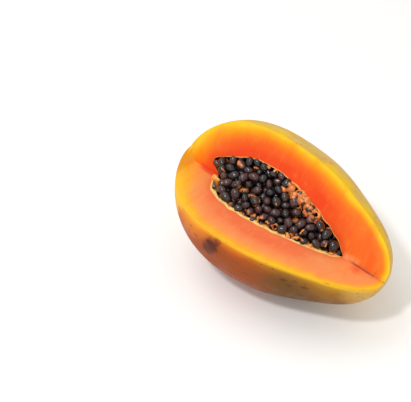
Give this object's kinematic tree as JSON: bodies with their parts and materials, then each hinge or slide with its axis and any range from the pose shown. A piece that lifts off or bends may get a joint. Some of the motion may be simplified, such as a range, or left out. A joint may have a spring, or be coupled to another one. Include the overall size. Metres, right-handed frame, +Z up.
{
  "type": "papaya",
  "caption": "Ripe papaya lying on its side with a lengthwise wedge cut out, showing orange flesh and a cavity full of dark seeds.",
  "frame": {"origin": "middle of the flat spot under the belly, on which the fruit rests", "axes": "+Z up; +X along the fruit towards its stem end, which dips below level; the cut wedge opens upwards and towards -Y"},
  "size_m": [0.169, 0.1094, 0.105],
  "materials": {
    "fruit": "moist orange flesh inside a smooth yellow skin",
    "seeds": "wet, glossy, near-black seed coats"
  },
  "bodies": {
    "root": {"fruit": "fruit", "seeds": "seeds"}
  },
  "joints": []
}
